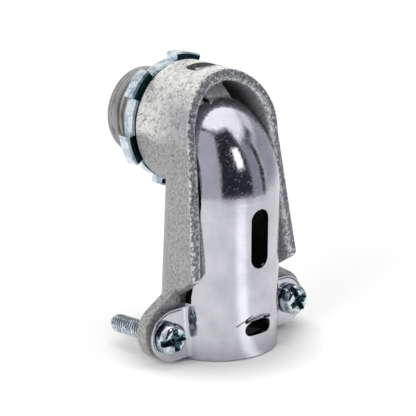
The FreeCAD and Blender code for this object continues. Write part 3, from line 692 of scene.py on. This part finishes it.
def makeScrew(size, side, name, node, body):
    headWay = Vector((0, -math.cos(size["tilt"]), math.sin(size["tilt"])))
    across = Vector((1, 0, 0))
    rise = headWay.cross(across)
    seat = Vector((side * size["seatX"], size["seatY"], size["seatZ"]))
    turn = Matrix((across, rise, headWay)).transposed().to_4x4()
    stand = Matrix.Translation(seat) @ turn
    back = stand.inverted()
    slack = 0.02 * mm

    def onShank(face):
        corners = [back @ corner.co for corner in face.verts]
        wide = size["radius"] + slack
        return all(at.z < slack and math.hypot(at.x, at.y) < wide for at in corners)

    work = openCopy(node, onShank)
    for face in work.faces:
        face.smooth = True
        middle = back @ face.calc_center_median()
        way = back.to_3x3() @ face.normal
        out = math.hypot(middle.x, middle.y)
        outward = (way.x * middle.x + way.y * middle.y) / max(out, slack)
        wall = abs(way.z) < 0.1 and outward < 0.7  # side of a drive slot, not of the head
        bed = way.z > 0.9 and middle.z < size["headHeight"] - size["recessFrom"]
        bed = bed and out < size["headRadius"] - 0.05 * mm
        # the recess's floor and drive walls take the painted shade
        if middle.z > size["recessFrom"] and (wall or bed):
            face.material_index = 1
    shank = size["length"]

    def cutAt(along, angle):
        ends = min(1.0, along / size["tipRunOut"], (shank - along) / size["headRunOut"])
        return max(0.0, ends) * (1 - threadForm(along, angle, size["pitch"]))

    def radiusAt(along, angle):
        taper = min(1.0, along / size["tip"])
        crest = size["tipRadius"] + (size["radius"] - size["tipRadius"]) * taper
        return crest - size["depth"] * cutAt(along, angle)

    def slotAt(along, angle):
        # the deeper grooves take the painted shade
        return 2 if cutAt(along, angle) > size["darkCut"] else 0

    foot = stand @ Matrix.Translation((0, 0, -shank))
    rows = turnedThread(work, foot, radiusAt, shank, size["rings"], size["around"], slotAt)
    cap = work.faces.new(list(reversed(rows[0])))
    cap.smooth = False
    return finishPiece(work, name, node, body, (screwFinish, recessShadeFinish, grooveShadeFinish))


makeScrew(screwSize, -1, "clamp_screw_left", "screw_left", "left_screw")
makeScrew(screwSize, 1, "clamp_screw_right", "screw_right", "right_screw")
print("screws made")

for nodeName, finish in (("clamp_cover", coverFinish), ("locknut", nutFinish)):
    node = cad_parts[nodeName]
    node.data.materials.clear()
    node.data.materials.append(finish)

studio = {
    "floorHalf": 0.6,
    "floorColour": (0.86, 0.86, 0.86),
    "floorLift": 0.34,
    "floorShadow": (15, 27),  # no lift under the object, which leaves a painted shadow there
    "floorStripe": (-0.02, 0.24, 0.07, 0.58),  # the cover mirrors it: slant, widths, lift
    "stripeFrom": -13.0,  # it lies in front of this Y
    "floorFade": (0.10, 0.32),  # the floor thins out into the white backdrop
    "ambient": 0.40,
    "lamps": (  # name, place, aim height, size, watts
        ("topSoftbox", (0.075, -0.02, 0.60), 0.03, (0.55, 0.44), 1.15),
        ("leftSoftbox", (-0.62, -0.10, 0.34), 0.03, (0.3, 0.5), 2.4),
        ("rightSoftbox", (0.45, -0.45, 0.30), 0.03, (0.3, 0.4), 0.6),
    ),
    "cards": (  # name, azimuths, elevations, distance, shade, softness in degrees
        ("darkFlag", (-38, 26), (-16, 67), 0.18, (0.034, 0.035, 0.046), 5),
        ("darkBrow", (-85, -34), (58, 67), 0.18, (0.012, 0.014, 0.022), 3),
        ("slimFlag", (41, 57), (-16, 36), 0.20, (0.03, 0.035, 0.05), 5),
        ("navyFlag", (36, 76), (26, 46), 0.20, (0.06, 0.075, 0.12), 8),
        ("greyGap", (22, 44), (-16, 44), 0.22, (0.40, 0.41, 0.48), 3),
        ("leftWall", (-90, -35), (-16, 61), 0.22, (0.66, 0.65, 0.73), 3),
        ("rightWall", (54, 128), (-16, 32), 0.23, (0.50, 0.50, 0.57), 9),
        ("keyCard", (-4, 15), (16, 43), 0.15, (3.6, 3.6, 3.6), 6),
        ("topCard", (-180, 180), (64, 90), 0.26, (1.62, 1.62, 1.59), 2),
        ("whiteWing", (24, 112), (44, 76), 0.27, (1.62, 1.62, 1.59), 3),
    ),
    "cardCentre": (0, 0, 0.045),
    "cardFoot": 0.6,  # a card fades more slowly at its foot
}


def seenRay(tree):
    path = addNode(tree, "LightPath").outputs
    seen = sums(tree, "MAXIMUM", path["Is Camera Ray"], path["Is Glossy Ray"])
    return sums(tree, "MAXIMUM", seen, path["Is Transmission Ray"])


def makeBackdrop(look):
    world = bpy.data.worlds.new("paleStudio")
    scene.world = world
    world.use_nodes = True
    tree = world.node_tree
    tree.nodes.clear()
    plain = addNode(tree, "Background", {"Color": (1, 1, 1, 1), "Strength": look["ambient"]})
    white = addNode(tree, "Background", {"Color": (1, 1, 1, 1), "Strength": 1.0})
    mix = addNode(tree, "MixShader", {0: seenRay(tree), 1: plain.outputs[0], 2: white.outputs[0]})
    output = addNode(tree, "OutputWorld")
    tree.links.new(mix.outputs[0], output.inputs["Surface"])


def makeFloor(look):
    side = look["floorHalf"]
    mesh = bpy.data.meshes.new("studioFloor")
    mesh.from_pydata([(-side, -side, cadLow.z), (side, -side, cadLow.z), (side, side, cadLow.z),
                      (-side, side, cadLow.z)], [], [(0, 1, 2, 3)])
    floor = bpy.data.objects.new("studioFloor", mesh)
    scene.collection.objects.link(floor)
    finish = bpy.data.materials.new("paleFloor")
    finish.use_nodes = True
    tree = finish.node_tree
    tree.nodes.clear()
    at, x, y, z = spot(tree)
    matt = addNode(tree, "BsdfDiffuse", {"Color": (*look["floorColour"], 1)})
    out = reach(tree, x, y)
    slant, outer, inner, extra = look["floorStripe"]
    aside = sums(tree, "ADD", sums(tree, "DIVIDE", x, y), slant)
    stripe = spread(tree, sums(tree, "ABSOLUTE", aside), outer, inner, 0.0, extra)
    stripe = sums(tree, "MULTIPLY", stripe, sums(tree, "LESS_THAN", y, look["stripeFrom"]))
    stripe = sums(tree, "MULTIPLY", stripe, addNode(tree, "LightPath").outputs["Is Glossy Ray"])
    # painted shadow: the lift fades out near the object
    glow = sums(tree, "MULTIPLY", spread(tree, out, *look["floorShadow"]), look["floorLift"])
    glow = sums(tree, "MULTIPLY_ADD", seenRay(tree), glow, stripe)
    lift = addNode(tree, "Emission", {"Color": (1, 1, 1, 1), "Strength": glow})
    both = addNode(tree, "AddShader", {0: matt.outputs[0], 1: lift.outputs[0]})
    clear = addNode(tree, "BsdfTransparent", {"Color": (1, 1, 1, 1)})
    near, far = look["floorFade"]
    fade = spread(tree, out, near / mm, far / mm)
    thin = addNode(tree, "MixShader", {0: fade, 1: both.outputs[0], 2: clear.outputs[0]})
    output = addNode(tree, "OutputMaterial")
    tree.links.new(thin.outputs[0], output.inputs["Surface"])
    mesh.materials.append(finish)


def cardFinish():
    finish = bpy.data.materials.new("studioCard")
    finish.use_nodes = True
    tree = finish.node_tree
    tree.nodes.clear()
    shade = addNode(tree, "Attribute", attribute_name="shade")
    veil = addNode(tree, "Attribute", attribute_name="veil")
    sheet = addNode(tree, "Emission", {"Color": shade.outputs["Color"], "Strength": 1.0})
    clear = addNode(tree, "BsdfTransparent", {"Color": (1, 1, 1, 1)})
    mix = addNode(tree, "MixShader", {0: veil.outputs["Fac"], 1: clear.outputs[0], 2: sheet.outputs[0]})
    output = addNode(tree, "OutputMaterial")
    tree.links.new(mix.outputs[0], output.inputs["Surface"])
    return finish


def makeCard(card, look, finish, steps=28):
    name, azimuths, elevations, distance, shade, soft = card
    points, veils, faces = [], [], []
    for row in range(steps + 1):
        for column in range(steps + 1):
            azimuth = azimuths[0] + (azimuths[1] - azimuths[0]) * column / steps
            elevation = elevations[0] + (elevations[1] - elevations[0]) * row / steps
            a, e = math.radians(azimuth), math.radians(elevation)
            way = Vector((math.sin(a) * math.cos(e), -math.cos(a) * math.cos(e), math.sin(e)))
            points.append(Vector(look["cardCentre"]) + way * distance)
            inset = min(azimuth - azimuths[0], azimuths[1] - azimuth, elevations[1] - elevation,
                        (elevation - elevations[0]) * look["cardFoot"])
            part = min(1.0, max(0.0, inset / soft))
            veils.append(part * part * (3 - 2 * part))
    for row in range(steps):
        for column in range(steps):
            corner = row * (steps + 1) + column
            faces.append((corner, corner + 1, corner + steps + 2, corner + steps + 1))
    mesh = bpy.data.meshes.new(name)
    mesh.from_pydata(points, [], faces)
    veilLayer = mesh.attributes.new("veil", "FLOAT", "POINT")
    veilLayer.data.foreach_set("value", veils)
    shadeLayer = mesh.attributes.new("shade", "FLOAT_COLOR", "POINT")
    shadeLayer.data.foreach_set("color", [*shade, 1.0] * len(points))
    mesh.materials.append(finish)
    sheet = bpy.data.objects.new(name, mesh)
    scene.collection.objects.link(sheet)
    sheet.visible_camera = False  # seen in the metal alone
    sheet.visible_diffuse = False
    sheet.visible_transmission = False
    sheet.visible_shadow = False


def makeLamps(look):
    for name, place, aimHeight, size, watts in look["lamps"]:
        data = bpy.data.lights.new(name, "AREA")
        data.shape = "RECTANGLE"
        data.size, data.size_y = size
        data.energy = watts
        lamp = bpy.data.objects.new(name, data)
        lamp.location = place
        aim = Vector((0, 0, aimHeight)) - lamp.location
        lamp.rotation_euler = aim.to_track_quat("-Z", "Y").to_euler()
        lamp.visible_glossy = False  # the metal mirrors the cards instead
        scene.collection.objects.link(lamp)


makeBackdrop(studio)
makeFloor(studio)
sheetFinish = cardFinish()
for studioCard in studio["cards"]:
    makeCard(studioCard, studio, sheetFinish)
makeLamps(studio)
print("studio lit")
